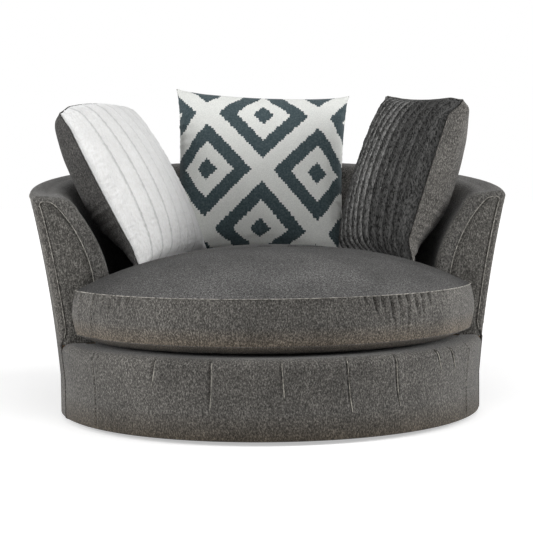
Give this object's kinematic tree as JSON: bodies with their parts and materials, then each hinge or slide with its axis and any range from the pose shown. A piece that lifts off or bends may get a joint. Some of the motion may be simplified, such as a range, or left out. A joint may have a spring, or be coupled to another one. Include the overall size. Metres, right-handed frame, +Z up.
{
  "type": "round barrel swivel chair",
  "caption": "Round upholstered barrel chair that turns on a hidden ball-bearing base, with a loose domed seat cushion and loose back pillows.",
  "frame": {"origin": "point where the swivel axis meets the floor, at the middle of the centre glide's lower face", "axes": "+Z up along the swivel axis, front of the seat towards -Y, +X towards the chair's left arm, which is on the right in the picture"},
  "size_m": [1.4438, 1.3722, 1.0217],
  "materials": {
    "glides": "matte",
    "plinth": "sawn",
    "bearing_lower": "satin",
    "lower_screws": "bright zinc",
    "pivot_bolt": "satin",
    "pivot_nut": "bright zinc",
    "ball_cage": "satin",
    "bearing_balls": "polished",
    "bearing_upper": "satin",
    "upper_screws": "bright zinc",
    "pivot_bush": "matte",
    "swivel_board": "sawn",
    "cross_rails": "sawn",
    "bottom_ring": "sawn",
    "dust_cover": "thin black cloth",
    "deck_ring": "sawn",
    "front_posts": "sawn",
    "rib_1": "sawn",
    "rib_2": "sawn",
    "rib_3": "sawn",
    "rib_4": "sawn",
    "rib_5": "sawn",
    "rib_6": "sawn",
    "arm_board_right": "sawn",
    "arm_board_left": "sawn",
    "top_rail": "sawn",
    "lumbar_rail": "sawn",
    "seat_springs": "oiled",
    "spring_clips": "satin",
    "deck_pad": "wadding",
    "deck_cover": "flecked chenille",
    "front_board": "sawn",
    "front_pad": "wadding",
    "front_cover": "flecked chenille",
    "outer_board": "smooth",
    "outer_cover": "flecked chenille",
    "back_foam": "foam",
    "inner_cover": "flecked chenille",
    "arm_pads": "wadding",
    "arm_cover_right": "flecked chenille",
    "arm_cover_left": "flecked chenille",
    "arm_welts": "sewn welt",
    "cushion_core": "foam",
    "cushion_topper": "wadding",
    "cushion_top": "flecked chenille",
    "cushion_boxing": "flecked chenille",
    "cushion_bottom": "flecked chenille",
    "cushion_welts": "sewn welt",
    "zip_tape": "woven tape",
    "zip_slider": "bright zinc",
    "left_front": "short white pile",
    "left_back": "flecked chenille",
    "left_fill": "wadding",
    "middle_front": "printed cloth",
    "middle_back": "flecked chenille",
    "middle_fill": "wadding",
    "right_front": "ribbed dark pile",
    "right_back": "flecked chenille",
    "right_fill": "wadding"
  },
  "bodies": {
    "swivel_base": {"glides": "glides", "plinth": "plinth", "bearing_lower": "bearing_lower", "lower_screws": "lower_screws", "pivot_bolt": "pivot_bolt", "pivot_nut": "pivot_nut"},
    "bearing_cage": {"ball_cage": "ball_cage", "bearing_balls": "bearing_balls"},
    "chair_body": {"bearing_upper": "bearing_upper", "upper_screws": "upper_screws", "pivot_bush": "pivot_bush", "swivel_board": "swivel_board", "cross_rails": "cross_rails", "bottom_ring": "bottom_ring", "dust_cover": "dust_cover", "deck_ring": "deck_ring", "front_posts": "front_posts", "rib_1": "rib_1", "rib_2": "rib_2", "rib_3": "rib_3", "rib_4": "rib_4", "rib_5": "rib_5", "rib_6": "rib_6", "arm_board_right": "arm_board_right", "arm_board_left": "arm_board_left", "top_rail": "top_rail", "lumbar_rail": "lumbar_rail", "seat_springs": "seat_springs", "spring_clips": "spring_clips", "deck_pad": "deck_pad", "deck_cover": "deck_cover", "front_board": "front_board", "front_pad": "front_pad", "front_cover": "front_cover", "outer_board": "outer_board", "outer_cover": "outer_cover", "back_foam": "back_foam", "inner_cover": "inner_cover", "arm_pads": "arm_pads", "arm_cover_right": "arm_cover_right", "arm_cover_left": "arm_cover_left", "arm_welts": "arm_welts"},
    "seat_cushion": {"cushion_core": "cushion_core", "cushion_topper": "cushion_topper", "cushion_top": "cushion_top", "cushion_boxing": "cushion_boxing", "cushion_bottom": "cushion_bottom", "cushion_welts": "cushion_welts", "zip_tape": "zip_tape"},
    "zip_runner": {"zip_slider": "zip_slider"},
    "left_pillow": {"left_front": "left_front", "left_back": "left_back", "left_fill": "left_fill"},
    "middle_pillow": {"middle_front": "middle_front", "middle_back": "middle_back", "middle_fill": "middle_fill"},
    "right_pillow": {"right_front": "right_front", "right_back": "right_back", "right_fill": "right_fill"}
  },
  "joints": [
    {"name": "swivel", "type": "hinge", "parent": "swivel_base", "child": "chair_body", "pos_m": [0, 0, 0.038], "axis": [0, 0, 1], "continuous": true},
    {"name": "bearing_roll", "type": "hinge", "parent": "swivel_base", "child": "bearing_cage", "pos_m": [0, 0, 0.038], "axis": [0, 0, 1], "continuous": true},
    {"name": "cushion_lift", "type": "slide", "parent": "chair_body", "child": "seat_cushion", "axis": [0, 0, 1], "range_m": [0, 0.35]},
    {"name": "zip_run", "type": "hinge", "parent": "seat_cushion", "child": "zip_runner", "pos_m": [0, 0, 0.326], "axis": [0, 0, 1], "range_deg": [0, 132]},
    {"name": "left_lift", "type": "slide", "parent": "seat_cushion", "child": "left_pillow", "axis": [0, -0.4191, 0.908], "range_m": [0, 0.3]},
    {"name": "middle_lift", "type": "slide", "parent": "seat_cushion", "child": "middle_pillow", "axis": [0.0499, 0.1997, 0.9786], "range_m": [0, 0.3]},
    {"name": "right_lift", "type": "slide", "parent": "seat_cushion", "child": "right_pillow", "axis": [0.1505, 0.1004, 0.9835], "range_m": [0, 0.3]}
  ],
  "couplings": [
    {"joint": "bearing_roll", "follows": "swivel", "ratio": 0.5}
  ]
}
